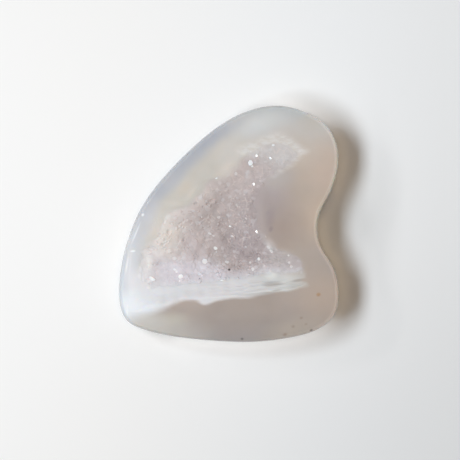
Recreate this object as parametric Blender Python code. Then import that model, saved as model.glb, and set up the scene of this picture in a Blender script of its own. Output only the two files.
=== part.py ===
"""A polished agate freeform, shaped like a leaning heart, with a hollow of druzy quartz.

The stone lies on its flat back at z = 0, with +Z up and the origin at the middle of its box. +X and +Y run
right and up as one looks down on its face. It is one piece of chalcedony with a hollow in its face, and the
crust of small quartz crystals that lines the hollow.
"""

import math

import bmesh
import bpy
import numpy as np
from mathutils.geometry import delaunay_2d_cdt

MM = 0.001

# The stone's outline seen from above, anticlockwise from its top, through which a smooth closed curve runs.
STONE_OUTLINE = np.array([
    (9.5, 25.0), (0.8, 22.4), (-7.3, 16.4), (-14.1, 9.4), (-19.0, 2.3), (-22.0, -6.2), (-23.1, -13.2),
    (-22.7, -17.9), (-21.1, -20.7), (-17.9, -22.3), (-12.0, -23.7), (-2.8, -24.7), (5.7, -24.9), (13.1, -24.0),
    (18.7, -22.2), (22.2, -18.9), (23.1, -14.0), (22.0, -9.1), (19.8, -5.1), (18.8, -1.3), (19.3, 2.3),
    (21.1, 6.0), (22.8, 11.3), (22.8, 16.4), (20.4, 21.0), (15.6, 23.9),
]) * MM

# The hollow's edge in the polished face: first from its right end over the top to its left end, then back along the bottom.
HOLLOW_UPPER_EDGE = np.array([
    (17.0, -11.5), (16.6, -9.1), (15.3, -6.8), (12.7, -5.0), (10.0, -3.2), (8.4, -0.6), (7.8, 2.6), (8.1, 5.7),
    (9.5, 8.4), (12.1, 10.5), (14.7, 12.6), (15.6, 14.9), (13.8, 17.0), (10.6, 18.3), (7.0, 17.8), (3.8, 16.0),
    (1.0, 13.4), (-1.6, 11.3), (-4.7, 10.0), (-6.7, 7.9), (-8.4, 5.7), (-10.7, 4.5), (-13.5, 3.3), (-15.2, 0.9),
    (-16.7, -1.9), (-19.0, -3.6), (-20.4, -5.5), (-20.8, -8.1), (-20.9, -11.7), (-20.9, -15.3),
]) * MM
HOLLOW_LOWER_EDGE = np.array([
    (-20.0, -18.1), (-16.7, -17.8), (-12.0, -16.6), (-6.9, -15.7), (-1.3, -15.2), (4.2, -14.5), (9.3, -13.8),
    (14.6, -13.3),
]) * MM
# Where the crystals stop above the white agate ledges of the lower edge.
CRYSTAL_LOWER_EDGE = np.array([
    (-19.7, -16.0), (-16.7, -15.6), (-12.0, -14.5), (-6.9, -13.5), (-1.3, -12.8), (3.8, -12.1), (8.4, -11.6),
    (14.4, -11.0),
]) * MM

# The polished body
STONE_HEIGHT = 16.0 * MM
FACE_DROP = 2.6 * MM  # the domed face falls by this much at FACE_RADIUS from the middle
FACE_RADIUS = 25.0 * MM
GIRDLE_HEIGHT = 6.0 * MM  # the stone is widest here
SHOULDER_INSET = 1.3 * MM
LEFT_SHOULDER_INSET = 0.8 * MM  # the left side leans this much more
RIM_WIDTH = 0.9 * MM  # the face is at least this wide beside the hollow
FOOT_INSET = 2.0 * MM
OUTLINE_STEPS = 96
SHOULDER_RINGS = 7
FOOT_RINGS = 5

# The hollow
LIP_RUN = 0.22 * MM
LIP_DROP = 1.0 * MM
WALL_WIDTH = 4.2 * MM
SHALLOW_DEPTH = 2.1 * MM
DEEP_DEPTH = 7.6 * MM
DEEPEST_POINT = np.array((2.1, -5.5)) * MM
DEEP_REACH = np.array((13.0, 9.5)) * MM
LEDGE_RUNS = np.array((0.0, 0.22, 0.85, 1.05, 1.65, 1.85, 2.35)) * MM
LEDGE_DROPS = np.array((0.0, 0.6, 0.7, 1.15, 1.25, 1.7, 1.8)) * MM
HOLLOW_STEPS = 88
LEDGE_STEPS = 30

# The crust of crystals
CRUST_GAP = 0.35 * MM
CRUST_INSET = 0.6 * MM
CRUST_THICKNESS = 1.3 * MM
CRUST_EDGE_THICKNESS = 0.75 * MM
CRUST_THICKENS_OVER = 2.0 * MM
CRUST_BELOW_FACE = 0.15 * MM
CRYSTAL_BELOW_FACE = 0.04 * MM
CRYSTAL_SPACING = 0.98 * MM
CRYSTAL_HEIGHTS = (0.3 * MM, 1.0 * MM)
CRYSTAL_LEAN = 0.14 * MM
VALLEY_DROP = 0.08 * MM
CRUST_STEPS = 112

# Mesh spacings
FACE_SPACING = 2.8 * MM
HOLLOW_SPACING = 1.3 * MM
CRUST_BACK_SPACING = 1.9 * MM
SEED = 11


def clear_scene():
    for obj in list(bpy.data.objects):
        bpy.data.objects.remove(obj, do_unlink=True)


def spline_piece(start, end, bend_start, bend_end, length, share):
    """Points at these shares of one cubic between two knots with known second derivatives."""
    after = share[:, None] * length
    before = length - after
    return (
        (bend_start * before**3 + bend_end * after**3) / (6 * length)
        + (start / length - bend_start * length / 6) * before
        + (end / length - bend_end * length / 6) * after
    )


def spread_evenly(line, count, closed):
    """The same line with points at equal distances along it."""
    if closed:
        line = np.vstack([line, line[:1]])
    steps = np.linalg.norm(np.diff(line, axis=0), axis=1)
    along = np.concatenate([[0.0], np.cumsum(steps)])
    wanted = np.linspace(0.0, along[-1], count, endpoint=not closed)
    return np.column_stack([np.interp(wanted, along, line[:, axis]) for axis in (0, 1)])


def smooth_loop(knots, count):
    """Evenly spaced points on the closed cubic spline through the knots."""
    following = np.roll(knots, -1, axis=0)
    lengths = np.sqrt(np.linalg.norm(following - knots, axis=1))
    slopes = (following - knots) / lengths[:, None]
    size = len(knots)
    matrix = np.zeros((size, size))
    for i in range(size):
        matrix[i, i - 1] = lengths[i - 1]
        matrix[i, i] = 2 * (lengths[i - 1] + lengths[i])
        matrix[i, (i + 1) % size] = lengths[i]
    bends = np.linalg.solve(matrix, 6 * (slopes - np.roll(slopes, 1, axis=0)))
    share = np.linspace(0.0, 1.0, 30, endpoint=False)
    pieces = [
        spline_piece(knots[i], following[i], bends[i], bends[(i + 1) % size], lengths[i], share)
        for i in range(size)
    ]
    return spread_evenly(np.vstack(pieces), count, closed=True)


def outward_normals(loop):
    """Unit normals in plan of an anticlockwise loop."""
    along = np.roll(loop, -1, axis=0) - np.roll(loop, 1, axis=0)
    normals = np.column_stack([along[:, 1], -along[:, 0]])
    return normals / np.linalg.norm(normals, axis=1)[:, None]


def distance_to(points, line, closed=False):
    """Each point's shortest distance in plan to a line of straight pieces."""
    starts = line if closed else line[:-1]
    ends = np.roll(line, -1, axis=0) if closed else line[1:]
    runs = ends - starts
    offsets = points[:, None, :] - starts[None]
    shares = (offsets * runs).sum(axis=2) / (runs**2).sum(axis=1)
    nearest = offsets - np.clip(shares, 0.0, 1.0)[:, :, None] * runs
    return np.linalg.norm(nearest, axis=2).min(axis=1)


def inside(points, loop):
    """Whether each point lies inside the loop, by the crossings of a ray along +X."""
    x, y = points[:, 0][:, None], points[:, 1][:, None]
    x0, y0 = loop[:, 0], loop[:, 1]
    x1, y1 = np.roll(x0, -1), np.roll(y0, -1)
    spans = (y0 > y) != (y1 > y)
    rise = np.where(y1 == y0, 1.0, y1 - y0)
    crossings = spans & (x < (x1 - x0) * (y - y0) / rise + x0)
    return crossings.sum(axis=1) % 2 == 1


def triangular_grid(spacing):
    """Points of a triangular grid over the whole stone."""
    row_height = spacing * math.sqrt(3) / 2
    low, high = STONE_OUTLINE.min(axis=0), STONE_OUTLINE.max(axis=0)
    rows = []
    for row, y in enumerate(np.arange(low[1], high[1], row_height)):
        x = np.arange(low[0] + (row % 2) * spacing / 2, high[0], spacing)
        rows.append(np.column_stack([x, np.full_like(x, y)]))
    return np.vstack(rows)


def smooth_step(value, low, high):
    share = np.clip((value - low) / (high - low), 0.0, 1.0)
    return share * share * (3 - 2 * share)


STONE_LOOP = smooth_loop(STONE_OUTLINE, OUTLINE_STEPS)
HOLLOW_LOOP = smooth_loop(np.vstack([HOLLOW_UPPER_EDGE, HOLLOW_LOWER_EDGE]), HOLLOW_STEPS)
CRYSTAL_LOOP = smooth_loop(np.vstack([HOLLOW_UPPER_EDGE, CRYSTAL_LOWER_EDGE]), CRUST_STEPS)
# The lower edge is what lies below and right of the hollow's left end.
FINE_HOLLOW_LOOP = smooth_loop(np.vstack([HOLLOW_UPPER_EDGE, HOLLOW_LOWER_EDGE]), 500)
LOWER_EDGE_LIMITS = (HOLLOW_LOWER_EDGE[0], HOLLOW_LOWER_EDGE[-1])


def split_hollow_loop():
    """The hollow's edge as two open lines: the upper one, which crystals reach, and the lower one, with the ledges."""
    starts = [np.linalg.norm(FINE_HOLLOW_LOOP - limit, axis=1).argmin() for limit in LOWER_EDGE_LIMITS]
    turned = np.roll(FINE_HOLLOW_LOOP, -starts[0], axis=0)
    size = (starts[1] - starts[0]) % len(turned) + 1
    lower = turned[:size]
    upper = np.vstack([turned[size - 1:], turned[:1]])
    return upper, lower


UPPER_LINE, LOWER_LINE = split_hollow_loop()


def face_height(points):
    """The height of the polished face, a shallow dome."""
    return STONE_HEIGHT - FACE_DROP * (points**2).sum(axis=1) / FACE_RADIUS**2


def full_depth(points):
    """How deep the hollow is away from its walls: shallow at both ends and deepest low in the middle."""
    away = (points - DEEPEST_POINT) / DEEP_REACH
    return SHALLOW_DEPTH + (DEEP_DEPTH - SHALLOW_DEPTH) * np.exp(-(away**2).sum(axis=1))


def wall(distance, start, drop, depth):
    """A wall that has dropped this much at its start, and curves down from there to the full depth."""
    share = np.clip((distance - start) / WALL_WIDTH, 0.0, 1.0)
    return drop + (depth - drop) * np.sin(share * math.pi / 2)


def hollow_depth(points):
    """How far the hollow lies below the polished face."""
    depth = full_depth(points)
    from_upper = distance_to(points, UPPER_LINE)
    lip = LIP_DROP * np.clip(from_upper / LIP_RUN, 0.0, 1.0)
    below_upper = np.where(from_upper < LIP_RUN, lip, wall(from_upper, LIP_RUN, LIP_DROP, depth))
    from_lower = distance_to(points, LOWER_LINE)
    ledges = np.interp(from_lower, LEDGE_RUNS, LEDGE_DROPS)
    past_ledges = wall(from_lower, LEDGE_RUNS[-1], LEDGE_DROPS[-1], depth)
    below_lower = np.where(from_lower < LEDGE_RUNS[-1], ledges, past_ledges)
    return np.minimum(below_upper, below_lower)


def hollow_height(points):
    return face_height(points) - hollow_depth(points)


def crust_height(points):
    """The crust's surface between its crystals. It never stands above the polished face."""
    from_ledges = distance_to(points, LOWER_LINE) - LEDGE_RUNS[-1]
    growth = smooth_step(from_ledges, 0.0, CRUST_THICKENS_OVER)
    thickness = CRUST_EDGE_THICKNESS + (CRUST_THICKNESS - CRUST_EDGE_THICKNESS) * growth
    depth = np.maximum(hollow_depth(points) - thickness, CRUST_BELOW_FACE)
    return face_height(points) - depth


def triangulate(points, loops, lines=()):
    """Triangles inside the first loop, with every loop and line as edges. Loops and lines hold point indices."""
    edges = [(loop[i - 1], loop[i]) for loop in loops for i in range(len(loop))]
    edges += [(line[i], line[i + 1]) for line in lines for i in range(len(line) - 1)]
    flat = [(float(x) / MM, float(y) / MM) for x, y in points]
    made, _, faces, origins, _, _ = delaunay_2d_cdt(flat, edges, [], 1, 1e-5, True)
    if any(not origin for origin in origins) or len(made) != len(points):
        raise ValueError("two edges cross, or two points coincide")
    faces = np.array([[origins[corner][0] for corner in face] for face in faces])
    within = inside(points[faces].mean(axis=1), points[loops[0]])
    return faces[within].tolist()


def add_material(obj, name, colour, roughness):
    material = bpy.data.materials.new(name)
    material.use_nodes = True
    shader = material.node_tree.nodes["Principled BSDF"]
    shader.inputs["Base Color"].default_value = (*colour, 1.0)
    shader.inputs["Roughness"].default_value = roughness
    shader.inputs["Metallic"].default_value = 0.0
    shader.inputs["IOR"].default_value = 1.54
    material.diffuse_color = (*colour, 1.0)
    obj.data.materials.append(material)


def add_object(name, bm, smooth_angle):
    bmesh.ops.recalc_face_normals(bm, faces=bm.faces)
    mesh = bpy.data.meshes.new(name)
    bm.to_mesh(mesh)
    bm.free()
    mesh.shade_smooth()
    mesh.set_sharp_from_angle(angle=smooth_angle)
    obj = bpy.data.objects.new(name, mesh)
    bpy.context.scene.collection.objects.link(obj)
    return obj


def side_rings():
    """The stone's side as (inset, height) for each ring, from its flat back up to its shoulder."""
    normals = outward_normals(STONE_LOOP)
    lean = SHOULDER_INSET + LEFT_SHOULDER_INSET * np.clip(-normals[:, 0], 0.0, 1.0)
    lean = np.minimum(lean, distance_to(STONE_LOOP, HOLLOW_LOOP, True) - RIM_WIDTH)
    shoulder = STONE_LOOP - normals * lean[:, None]
    shoulder_height = face_height(shoulder)
    rings = []
    for step in range(FOOT_RINGS):
        turn = step / FOOT_RINGS * math.pi / 2
        inset = np.full(OUTLINE_STEPS, FOOT_INSET * (1 - math.sin(turn)))
        height = np.full(OUTLINE_STEPS, GIRDLE_HEIGHT * (1 - math.cos(turn)))
        rings.append((inset, height))
    for step in range(SHOULDER_RINGS + 1):
        turn = step / SHOULDER_RINGS * math.pi / 2
        inset = lean * (1 - math.cos(turn))
        height = GIRDLE_HEIGHT + (shoulder_height - GIRDLE_HEIGHT) * math.sin(turn)
        rings.append((inset, height))
    return [
        np.column_stack([STONE_LOOP - normals * inset[:, None], height]) for inset, height in rings
    ]


def ledge_lines():
    """Lines along the steps of the white agate, inside the hollow's lower edge and short of its ends."""
    lines = []
    for run in LEDGE_RUNS[2:-1]:
        fine = spread_evenly(LOWER_LINE, 200, closed=False)
        along = np.gradient(fine, axis=0)
        inward = np.column_stack([-along[:, 1], along[:, 0]])
        inward /= np.linalg.norm(inward, axis=1)[:, None]
        line = fine + inward * run
        clear_of_upper = distance_to(line, UPPER_LINE) > LEDGE_RUNS[-1]
        lines.append(spread_evenly(line[clear_of_upper], LEDGE_STEPS, closed=False))
    return lines


def build_stone():
    """The chalcedony: a flat back, a rounded side, and a domed face with the hollow in it."""
    rings = side_rings()
    bm = bmesh.new()
    loops = [[bm.verts.new(point) for point in ring] for ring in rings]
    for lower, upper in zip(loops, loops[1:]):
        for i in range(OUTLINE_STEPS):
            bm.faces.new((lower[i - 1], lower[i], upper[i], upper[i - 1]))
    bm.faces.new(loops[0])

    shoulder = rings[-1][:, :2]
    lip = HOLLOW_LOOP - outward_normals(HOLLOW_LOOP) * LIP_RUN
    ledges = ledge_lines()
    grid = triangular_grid(FACE_SPACING)
    clear = (distance_to(grid, shoulder, True) > FACE_SPACING / 2) & inside(grid, shoulder)
    clear &= (distance_to(grid, HOLLOW_LOOP, True) > FACE_SPACING / 2) & ~inside(grid, HOLLOW_LOOP)
    face_points = grid[clear]
    grid = triangular_grid(HOLLOW_SPACING)
    clear = (distance_to(grid, lip, True) > HOLLOW_SPACING / 2) & inside(grid, lip)
    for line in ledges:
        clear &= distance_to(grid, line) > HOLLOW_SPACING / 3
    hollow_points = grid[clear]

    groups = [shoulder, HOLLOW_LOOP, lip, *ledges, face_points, hollow_points]
    points = np.vstack(groups)
    starts = np.cumsum([0] + [len(group) for group in groups])
    indices = [list(range(start, end)) for start, end in zip(starts, starts[1:])]
    heights = face_height(points)
    hollow = np.concatenate([indices[2], *indices[3:-2], indices[-1]]).astype(int)
    heights[hollow] = hollow_height(points[hollow])
    verts = list(loops[-1])
    for (x, y), z in zip(points[OUTLINE_STEPS:], heights[OUTLINE_STEPS:]):
        verts.append(bm.verts.new((x, y, z)))
    for face in triangulate(points, indices[:3], indices[3:-2]):
        bm.faces.new([verts[corner] for corner in face])
    return add_object("agate_stone", bm, math.radians(35))


def surface_normals(points, height_of):
    """Upward unit normals of a height field."""
    step = 0.2 * MM
    slope_x = (height_of(points + (step, 0)) - height_of(points - (step, 0))) / (2 * step)
    slope_y = (height_of(points + (0, step)) - height_of(points - (0, step))) / (2 * step)
    normals = np.column_stack([-slope_x, -slope_y, np.ones(len(points))])
    return normals / np.linalg.norm(normals, axis=1)[:, None]


def raise_crystals(bm, seeds, random):
    """Makes each seed point the tip of a pointed crystal whose flat faces meet its neighbours' in valleys."""
    old_edges = [edge for edge in bm.edges if not edge.is_boundary]
    poked = bmesh.ops.poke(bm, faces=bm.faces)
    bmesh.ops.rotate_edges(bm, edges=old_edges, use_ccw=False)
    plan = np.array([vert.co[:2] for vert in poked["verts"]])
    for vert, height in zip(poked["verts"], crust_height(plan) - VALLEY_DROP):
        vert.co.z = height
    plan = np.array([vert.co[:2] for vert in seeds])
    normals = surface_normals(plan, crust_height)
    lengths = random.uniform(*CRYSTAL_HEIGHTS, len(seeds))
    leans = random.uniform(-CRYSTAL_LEAN, CRYSTAL_LEAN, (len(seeds), 2))
    tips = np.column_stack([plan + leans, crust_height(plan)]) + normals * lengths[:, None]
    tips[:, 2] = np.minimum(tips[:, 2], face_height(tips[:, :2]) - CRYSTAL_BELOW_FACE)
    for vert, tip in zip(seeds, tips):
        vert.co = tip


def build_crust():
    """The crust of quartz: a layer that follows the hollow, with pointed crystals over its whole surface."""
    random = np.random.default_rng(SEED)
    edge = CRYSTAL_LOOP - outward_normals(CRYSTAL_LOOP) * CRUST_INSET
    ring = list(range(CRUST_STEPS))

    grid = triangular_grid(CRYSTAL_SPACING)
    grid = grid + random.uniform(-0.38, 0.38, grid.shape) * CRYSTAL_SPACING
    clear = (distance_to(grid, edge, True) > CRYSTAL_SPACING / 2) & inside(grid, edge)
    seeds = grid[clear]
    points = np.vstack([edge, seeds])
    heights = crust_height(points)
    bm = bmesh.new()
    verts = [bm.verts.new((x, y, z)) for (x, y), z in zip(points, heights)]
    for face in triangulate(points, [ring]):
        bm.faces.new([verts[corner] for corner in face])
    raise_crystals(bm, verts[CRUST_STEPS:], random)

    grid = triangular_grid(CRUST_BACK_SPACING)
    clear = (distance_to(grid, edge, True) > CRUST_BACK_SPACING / 2) & inside(grid, edge)
    points = np.vstack([edge, grid[clear]])
    heights = hollow_height(points) + CRUST_GAP
    backs = [bm.verts.new((x, y, z)) for (x, y), z in zip(points, heights)]
    for face in triangulate(points, [ring]):
        bm.faces.new([backs[corner] for corner in reversed(face)])
    for i in ring:
        before = ring[i - 1]
        bm.faces.new((verts[before], verts[i], backs[i], backs[before]))
    return add_object("druzy_crust", bm, math.radians(12))


clear_scene()
stone = build_stone()
add_material(stone, "grey_chalcedony", (0.52, 0.46, 0.40), 0.12)
crust = build_crust()
add_material(crust, "druzy_quartz", (0.50, 0.41, 0.40), 0.2)
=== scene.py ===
import bpy
import bmesh
import math
import numpy as np
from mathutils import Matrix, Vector, noise
from mathutils.geometry import delaunay_2d_cdt
from mathutils.kdtree import KDTree


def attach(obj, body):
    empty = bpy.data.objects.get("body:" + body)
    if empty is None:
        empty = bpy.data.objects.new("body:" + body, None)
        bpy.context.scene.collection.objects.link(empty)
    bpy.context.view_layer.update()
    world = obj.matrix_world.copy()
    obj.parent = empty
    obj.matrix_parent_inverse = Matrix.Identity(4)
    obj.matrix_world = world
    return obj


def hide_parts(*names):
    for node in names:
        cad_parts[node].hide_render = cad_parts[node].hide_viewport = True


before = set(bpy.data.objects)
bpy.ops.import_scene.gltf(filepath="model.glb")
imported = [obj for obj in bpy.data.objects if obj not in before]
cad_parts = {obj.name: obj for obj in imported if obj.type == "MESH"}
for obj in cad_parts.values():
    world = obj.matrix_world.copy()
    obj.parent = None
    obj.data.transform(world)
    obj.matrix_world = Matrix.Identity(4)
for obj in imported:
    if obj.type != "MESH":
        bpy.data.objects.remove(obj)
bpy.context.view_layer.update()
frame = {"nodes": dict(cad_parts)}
mm = 0.001
print("frame loaded:", ", ".join(frame["nodes"]))

# the plan of the stone, in millimetres, seen from above
plan = {
    # the stone's outline, anticlockwise from its top
    "outline": [
        (9.5, 25), (0.8, 22.4), (-7.3, 16.4), (-14.1, 9.4), (-19, 2.3), (-22, -6.2), (-23.1, -13.2),
        (-22.7, -17.9), (-21.1, -20.7), (-17.9, -22.3), (-12, -23.7), (-2.8, -24.7), (5.7, -24.9),
        (13.1, -24), (18.8, -22.3), (22.5, -19), (23.3, -14), (22.2, -9.1), (19.8, -5.1), (18.8, -1.3),
        (19.3, 2.3), (21.2, 6), (23, 11.3), (23, 16.4), (20.5, 21), (15.6, 23.9)],
    # the hollow's rim, from its right end over the top to its left end
    "upperRim": [
        (16.8, -11.6), (16.4, -9.2), (15.8, -7.1), (13, -5.3), (10.2, -3.5), (8.4, -0.6), (7.8, 2.6),
        (8.1, 5.7), (9.5, 8.4), (12.1, 10.5), (14.7, 12.6), (15.6, 14.9), (13.8, 17), (10.6, 18.3),
        (7, 17.8), (3.8, 16), (1, 13.4), (-1.6, 11.3), (-4.7, 10), (-6.7, 7.9), (-8.4, 5.7),
        (-10.7, 4.5), (-13.5, 3.3), (-15.2, 0.9), (-16.7, -1.9), (-19, -3.6), (-20.4, -5.5), (-20.8, -8.1),
        (-20.9, -11.7), (-20.9, -15.3)],
    # and back along the bottom
    "lowerRim": [
        (-20, -18.1), (-16.7, -17.8), (-12, -16.6), (-6.9, -15.7), (-1.3, -15.2), (4.2, -14.5),
        (9.3, -13.8), (14.6, -13.3)],
    # where the crystals stop above the white ledges
    "crystalEdge": [
        (-23, -14.6), (-19.7, -14.2), (-16.7, -13.9), (-12, -13.5), (-6.9, -13.1), (-1.3, -12.5),
        (3.8, -11.7), (8.4, -11.1), (14.4, -10.6), (19, -10.1)],
    # the white layer's wavy lower edge on the polished face
    "bandEdge": [
        (-23.6, -20.6), (-21.3, -20), (-18.2, -19.1), (-14.6, -18.2), (-12.8, -17.5), (-12, -16.9),
        (-10, -16.2), (-7.5, -15.9), (-6.1, -16.3), (-5.1, -16.9), (-3.3, -16.4), (-0.5, -15.7), (2, -15.5),
        (4.1, -15.5), (5.9, -15.1), (8.9, -14.5), (13.1, -14), (15.2, -13.4), (16.8, -12.9), (16.7, -12.5),
        (15.9, -12.1), (15.4, -11.8), (16, -11.4), (16.2, -10.2), (16.1, -7), (16, -5)],
    # the white mist in the stone round the hollow's upper tip
    "mistEdge": [
        (1.6, 15.3), (3.3, 16.6), (5, 17.3), (6.8, 18.2), (8.5, 19), (10.2, 19.2), (11.9, 18.9), (13.3, 18.1),
        (14.6, 17), (15.9, 16.1), (17, 15.2), (16.1, 14.6), (15.1, 13.9), (14.2, 12.8), (12.9, 11.9),
        (11.6, 11.2), (10.2, 10.2), (8.4, 9.8), (6.3, 11.1), (4.2, 13.2), (2.5, 14.3)],
}


def smoothLine(knots, step, closed=True):  # a spline through the knots, with even points along it
    knots = np.array(knots) * mm
    pad = 8 if closed else 0
    if closed:
        knots = np.vstack([knots[-pad:], knots, knots[:pad + 1]])
    gap = np.sqrt(np.linalg.norm(np.diff(knots, axis=0), axis=1))
    slope = np.diff(knots, axis=0) / gap[:, None]
    size = len(knots)
    matrix = np.eye(size)
    side = np.zeros((size, 2))
    for i in range(1, size - 1):
        matrix[i, i - 1:i + 2] = gap[i - 1], 2 * (gap[i - 1] + gap[i]), gap[i]
        side[i] = 6 * (slope[i] - slope[i - 1])
    bend = np.linalg.solve(matrix, side)
    line = []
    for i in range(pad, size - 1 - pad):
        h = gap[i]
        b = (np.linspace(0, 1, 40, endpoint=False) * h)[:, None]
        a = h - b
        line.append((bend[i] * a**3 + bend[i + 1] * b**3) / (6 * h)
                    + (knots[i] / h - bend[i] * h / 6) * a + (knots[i + 1] / h - bend[i + 1] * h / 6) * b)
    line.append(knots[size - 1 - pad][None])
    line = np.vstack(line)
    along = np.concatenate([[0], np.cumsum(np.linalg.norm(np.diff(line, axis=0), axis=1))])
    count = step if isinstance(step, int) else int(round(along[-1] / step))
    wanted = np.linspace(0, along[-1], count, endpoint=not closed)
    return np.column_stack([np.interp(wanted, along, line[:, k]) for k in (0, 1)])


def distanceTo(points, line, closed=False):
    start = line if closed else line[:-1]
    run = (np.roll(line, -1, axis=0) if closed else line[1:]) - start
    best = np.full(len(points), 1e9)
    for s, r in zip(start, run):
        offset = points - s
        share = np.clip(offset @ r / (r @ r), 0, 1)
        best = np.minimum(best, ((offset - share[:, None] * r)**2).sum(axis=1))
    return np.sqrt(best)


def isInside(points, loop):
    x, y = points[:, 0], points[:, 1]
    odd = np.zeros(len(points), bool)
    for (x0, y0), (x1, y1) in zip(loop, np.roll(loop, -1, axis=0)):
        if y0 != y1:
            odd ^= ((y0 > y) != (y1 > y)) & (x < (x1 - x0) * (y - y0) / (y1 - y0) + x0)
    return odd


def signedDistance(points, loop):  # positive inside
    return distanceTo(points, loop, True) * np.where(isInside(points, loop), 1, -1)


def outwardNormals(loop):
    along = np.roll(loop, -1, axis=0) - np.roll(loop, 1, axis=0)
    normals = np.column_stack([along[:, 1], -along[:, 0]])
    return normals / np.linalg.norm(normals, axis=1)[:, None]


def lengths(rows):
    return np.linalg.norm(rows, axis=1)


def smoothStep(value, low, high):
    share = np.clip((value - low) / (high - low), 0, 1)
    return share * share * (3 - 2 * share)


outlineLoop = smoothLine(plan["outline"], 0.4 * mm)
rimLoop = smoothLine(plan["upperRim"] + plan["lowerRim"], 0.25 * mm)
crystalFoot = smoothLine(plan["crystalEdge"], 0.25 * mm, closed=False)


def stretchOf(loop, first, last):  # the part of a loop between two of its knots
    ends = [lengths(loop - np.array(knot) * mm).argmin() for knot in (first, last)]
    return np.roll(loop, -ends[0], axis=0)[:(ends[1] - ends[0]) % len(loop) + 1]


softRim = stretchOf(rimLoop, plan["upperRim"][0], plan["upperRim"][11])
hardRim = stretchOf(rimLoop, plan["upperRim"][11], plan["lowerRim"][0])
lowerRim = stretchOf(rimLoop, plan["lowerRim"][0], plan["upperRim"][0])

# the heights of the face and of the hollow, in millimetres
shape = {
    "height": 15.72, "faceDrop": 1.5, "faceRadius": 25, "girdle": 6,
    "shoulderInset": 0.9, "leftInset": 0.4, "squareness": 3.4, "footInset": 2, "rimWidth": 0.9,
    "shallow": 1.3, "deep": 4.8, "deepest": (2.1, -5.5), "deepReach": (13, 9.5),
    "hardWall": 9, "softWall": 11, "lowWall": 6, "crustGap": 0.12, "crustSink": 0.08,
    "ledgeRuns": (0, 0.3, 0.85, 1.1, 1.6, 1.85, 2.35), "ledgeDrops": (0, 0.3, 0.38, 0.65, 0.75, 1, 1.1),
}


def faceHeight(points):
    return (shape["height"] - shape["faceDrop"] * ((points / mm)**2).sum(axis=1) / shape["faceRadius"]**2) * mm


def hollowDepth(points):
    away = (points / mm - shape["deepest"]) / np.array(shape["deepReach"])
    full = (shape["shallow"] + (shape["deep"] - shape["shallow"]) * np.exp(-(away**2).sum(axis=1))) * mm
    fromHard, fromSoft, fromLower = (distanceTo(points, line) for line in (hardRim, softRim, lowerRim))
    hard = full * smoothStep(fromHard, 0, shape["hardWall"] * mm)
    soft = full * smoothStep(fromSoft, 0, shape["softWall"] * mm)
    runs, drops = np.array(shape["ledgeRuns"]) * mm, np.array(shape["ledgeDrops"]) * mm
    x = points[:, 0] / mm
    wave = (0.16 * np.sin(x * 0.85) + 0.1 * np.sin(x * 2.3 + 1)) * mm
    waved = np.maximum(fromLower + wave * smoothStep(fromLower, 0.1 * mm, 0.7 * mm), 0)
    stepped = smoothStep(x, -9, 4)
    low = stepped * np.interp(waved, runs, drops)
    low = low + (1 - stepped) * drops[-1] * smoothStep(waved, -0.2 * mm, runs[-1])
    low = low + full * smoothStep(waved, 0.85 * runs[-1], runs[-1] + shape["lowWall"] * mm)
    walls = np.maximum([hard, soft, low], 1e-7)
    return (walls**-4.0).sum(axis=0)**-0.25  # the three walls run softly into each other


def footDistance(points):  # how far above the white ledges a place is
    above = np.vstack([crystalFoot, np.array([(30, 40), (-30, 40)]) * mm])
    return distanceTo(points, crystalFoot) * np.where(isInside(points, above), 1, -1)


def noiseAt(points, size, level):
    return np.array([noise.noise(Vector((x / size, y / size, level))) for x, y in points / mm])


def crustShare(points):  # 0 where the bare stone shows in the hollow, 1 where crystals cover it
    x, y = points.T / mm
    wander = noiseAt(points, 1.5, 5.0) + 0.6 * noiseAt(points, 0.5, 9.0)
    hardWidth = 3.0 + 2.4 * smoothStep(-x, 13, 19)
    softWidth = 1.5 + 2.1 * smoothStep(y, -7, -3) - 1.0 * smoothStep(y, 8, 12)
    hard = smoothStep(distanceTo(points, hardRim) / mm / hardWidth, 0.05, 1.0)
    soft = smoothStep(distanceTo(points, softRim) / mm / softWidth, 0.12, 1.0)
    low = smoothStep(footDistance(points) + 0.45 * wander * mm, -0.3 * mm, 1.8 * mm)
    leftEnd = smoothStep(np.hypot((x + 21) / 5, (y + 15) / 4), 0.75, 1.3)
    share = np.min([hard, soft, low], axis=0) * leftEnd
    return np.clip(share + 1.2 * wander * share * (1 - share), 0, 1) * isInside(points, rimLoop)


# the studio: the glint light is small and bright, and the key is large and soft
studio = {
    "pixel": 0.2128 * mm, "stoneCentre": (228.3, 224), "frameWidth": 460, "lens": 200, "sensor": 36,
    # the stone and the paper have a key and a top light each, because the shadow is deeper than the stone's shading;
    # a lamp's place is its azimuth, its elevation and its distance
    "stone": {"keyPlace": (180, 66, 0.4), "keySize": (0.13, 0.1), "keyPower": 1.15,
              "topPower": 0.47, "topColour": (1.19, 1, 0.83)},
    "paper": {"keyPlace": (180, 68, 0.4), "keySize": (0.21, 0.08), "keyPower": 1.31,
              "topPower": 0.29, "topColour": (1.34, 1, 0.7)},
    "keyColour": (0.917, 1, 1.07), "topPlace": (0, 90, 0.5), "topSize": (0.105, 0.105),
    "glintPlace": (157, 45, 0.42), "glintSize": (0.08, 0.02), "glintPower": 0.1,
    # light that leaves the stone low down: white above and below it, warm at its right
    "glowHeight": 1.7, "glowOut": 0.7, "glowSize": (3.2, 1), "glowPower": 1.1e-5, "glowStep": 8,
    "glowColour": (1.25, 1, 0.66), "skyColour": (1, 1, 1, 1), "skyStrength": 0.087,
    # the paper, with painted falloff of the light across it and painted shadow beside the stone: place, reach and
    # depth
    "floorColour": (0.893, 0.893, 0.893, 1), "floorLeft": (0.915, 0.893, 0.871, 1), "floorFall": 0.065,
    "floorFade": 0.015, "paintedFloorShadows": [((27.2, 0), (6, 9.5), 0.13), ((31.5, 2), (7.5, 30), 0.1)],
}


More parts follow.
